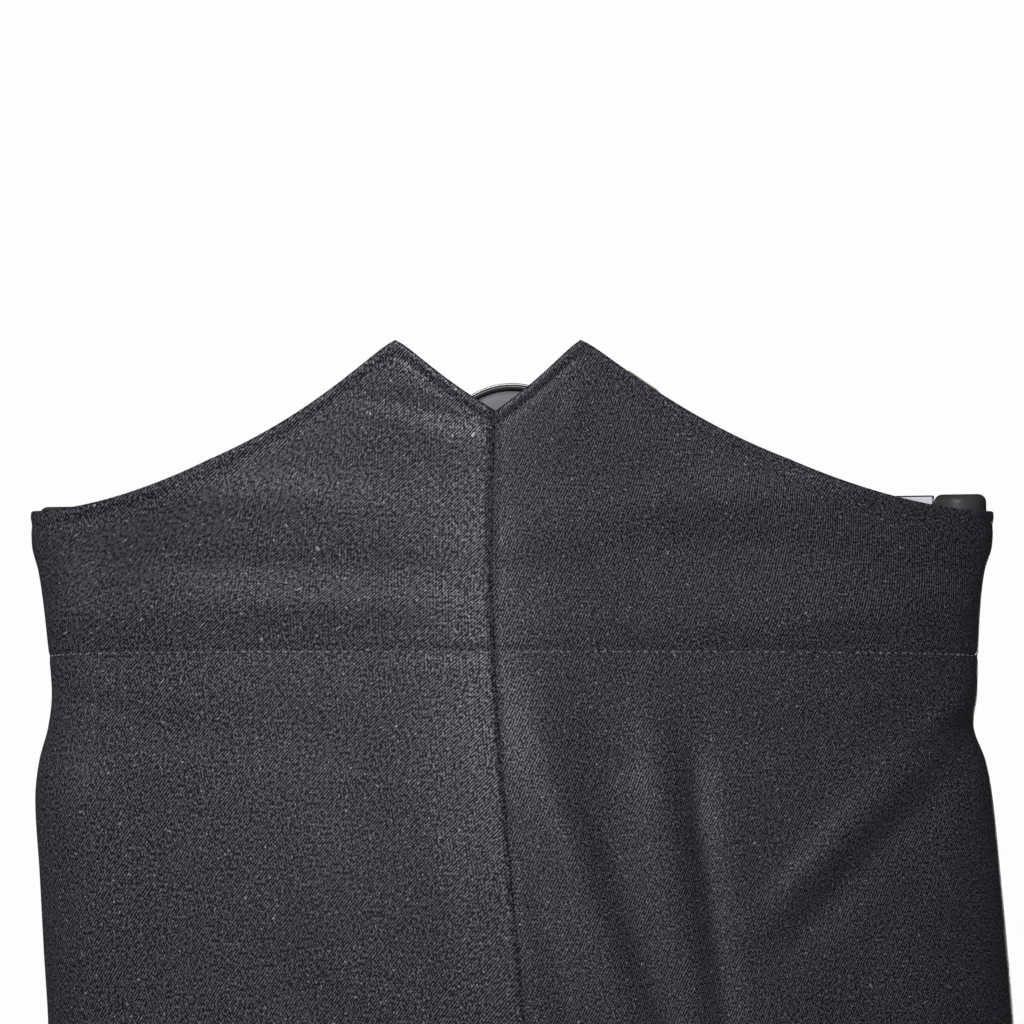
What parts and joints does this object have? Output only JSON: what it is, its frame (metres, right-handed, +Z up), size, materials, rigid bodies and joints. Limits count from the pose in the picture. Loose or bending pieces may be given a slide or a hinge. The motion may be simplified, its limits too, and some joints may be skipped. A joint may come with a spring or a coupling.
{
  "type": "high-back dress trousers on a waist hanger",
  "caption": "High-waisted dress trousers with a notched fishtail back for braces, hung open on a bar hanger that spreads the waist from inside; long straight creased legs.",
  "frame": {"origin": "middle of the hanger hub's far face, where a stand or wall arm holds it", "axes": "+Z up, the back of the trousers faces -Y and the front +Y, +X is the wearer's right"},
  "size_m": [0.4147, 0.1893, 1.1587],
  "materials": {
    "wool_twill": "heavy charcoal salt-and-pepper twill, matt",
    "cotton_facing": "plain beige cotton drill",
    "horn_button": "dark polished button",
    "chromed_steel": "bright chromed steel",
    "black_rubber": "satin black rubber",
    "grey_plastic": "matt dark grey moulded plastic"
  },
  "bodies": {
    "root": {"back_panel_left": "wool_twill", "back_panel_right": "wool_twill", "front_panel_left": "wool_twill", "front_panel_right": "wool_twill", "fly_underlap": "wool_twill", "back_facing_left": "cotton_facing", "back_facing_right": "cotton_facing", "waist_button": "horn_button", "hub_rim": "chromed_steel", "hanger_bar": "chromed_steel", "hub_ring": "black_rubber", "end_pad_left": "black_rubber", "end_pad_right": "black_rubber", "hub_cap": "grey_plastic", "hub_boss": "grey_plastic"}
  },
  "joints": []
}
